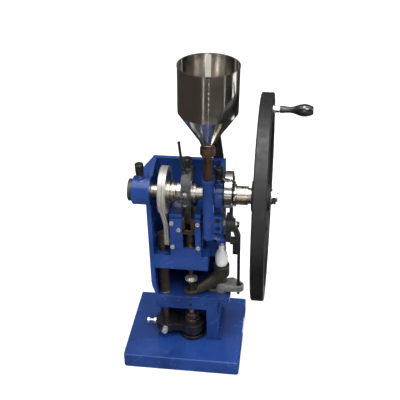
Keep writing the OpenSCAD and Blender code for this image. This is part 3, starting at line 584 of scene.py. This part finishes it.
WEB_CORNER = Vector((-0.0712, 0.0610, 0.4688))
WEB_FOOT = Vector((-0.0712, -0.0120, 0.4600))
WEB_REACH = 0.0250
WEB_THICKNESS = 0.0090
WEB_END = 0.0006
WEB_CURVE = 0.95
WEB_STEPS = 16


def boss_web():
    """The web from the back corner of the left wall's top out to the shaft boss."""
    along = WEB_CORNER - WEB_FOOT
    sink = along.cross(Vector((-1, 0, 0))).normalized() * WEB_THICKNESS
    if sink.z > 0:
        sink.negate()
    shape = bmesh.new()
    rows = []
    for i in range(WEB_STEPS + 1):
        share = i / WEB_STEPS
        inner = WEB_FOOT + along * share
        outer = inner + Vector((-WEB_REACH * (1 - share) ** WEB_CURVE - WEB_END, 0, 0))
        rows.append([shape.verts.new(p) for p in (inner, outer, outer + sink, inner + sink)])
    for low_row, high_row in zip(rows, rows[1:]):
        for k in range(4):
            shape.faces.new((low_row[k], low_row[(k + 1) % 4], high_row[(k + 1) % 4], high_row[k]))
    shape.faces.new(rows[0])
    shape.faces.new(list(reversed(rows[-1])))
    bmesh.ops.recalc_face_normals(shape, faces=shape.faces)
    finish_piece("boss_web", shape, (0, 0, 0), "frame", MATERIALS["blue"])


HOPPER_NECK = Vector((0.0625, -0.050, 0.566))
HOPPER_LEAN = math.radians(1.5)
HOPPER_WALL = 0.0012
SEAM_ANGLE = math.radians(-82.6)
SEAM_LEVELS = 90
SEAM_STRIPS = 8
SEAM_PROUD = 0.00025
SEAM_SUNK = 0.00005
# steps in angle per level of the two waves in the seam's line, and the second one's share
SLOW_WAVE = 0.68
FAST_WAVE = 1.59
FAST_SHARE = 0.6
# radius and height above the neck, from the rim down
HOPPER_LINE = (Vector((0.0588, 0.1600)), Vector((0.0588, 0.0702)), Vector((0.0140, 0.0026)))


def hopper_band(name, angle, width, inside, wave, look):
    """A ground weld down the hopper's wall and cone, on the outside or on the inside; the light one inside is
    also a painted highlight.
    """
    rim, knee, foot = HOPPER_LINE
    shape = bmesh.new()
    rows = []
    for i in range(SEAM_LEVELS + 1):
        share = 2 * i / SEAM_LEVELS
        spot = rim.lerp(knee, share) if share < 1 else knee.lerp(foot, share - 1)
        sway = wave * (math.sin(i * SLOW_WAVE) + FAST_SHARE * math.sin(i * FAST_WAVE))
        row = []
        for k in range(SEAM_STRIPS + 1):
            across = 2 * k / SEAM_STRIPS - 1
            rise = SEAM_PROUD * (1 - across ** 4) - SEAM_SUNK
            radius = spot.x - HOPPER_WALL - rise if inside else spot.x + rise
            a = angle + (sway + across * width / 2) / spot.x
            row.append(shape.verts.new((radius * math.cos(a), radius * math.sin(a), spot.y)))
        rows.append(row)
    for upper, lower in zip(rows, rows[1:]):
        for k in range(SEAM_STRIPS):
            shape.faces.new((upper[k], lower[k], lower[k + 1], upper[k + 1]))
    piece = finish_piece(name, shape, HOPPER_NECK, "feed_hopper", MATERIALS[look])
    piece.rotation_euler = (0, HOPPER_LEAN, 0)


ROUNDINGS = {
    "base_plate": 0.0025,
    "pedestal": 0.0020,
    "die_table": 0.0022,
    "column": 0.0022,
    "feed_post": 0.0010,
    "keeper_plates": 0.0008,
    "flywheel": 0.0018,
    "lifting_arm": 0.0020,
    "lifting_link": 0.0008,
    "strap_lower": 0.0014,
    "strap_cap": 0.0014,
    "rocker_arm": 0.0016,
    "rocker_rod": 0.0008,
    "feed_lever": 0.0020,
    "feed_shoe": 0.0018,
    "hopper_stay": 0.0010,
    "lower_guide_cup": 0.0012,
    "feed_cam": 0.0008,
}


make_camera()
make_floor()
make_world()
make_lights()
make_flags()
backdrop()
MATERIALS = make_materials()
dress_nodes(MATERIALS)

for casting, radius in ROUNDINGS.items():
    rounded_casting(casting, radius, NODES[casting].data.materials[0])

rod_knob()
boss_web()
hopper_band("hopper_seam", SEAM_ANGLE, 0.0012, False, 0.00018, "bright_z")
# the light inner band on the back wall is a ground weld that also serves as a painted highlight
hopper_band("hopper_inner_seam_painted_highlight", SEAM_ANGLE + math.pi, 0.012, True, 0.0, "weld_painted_highlight")
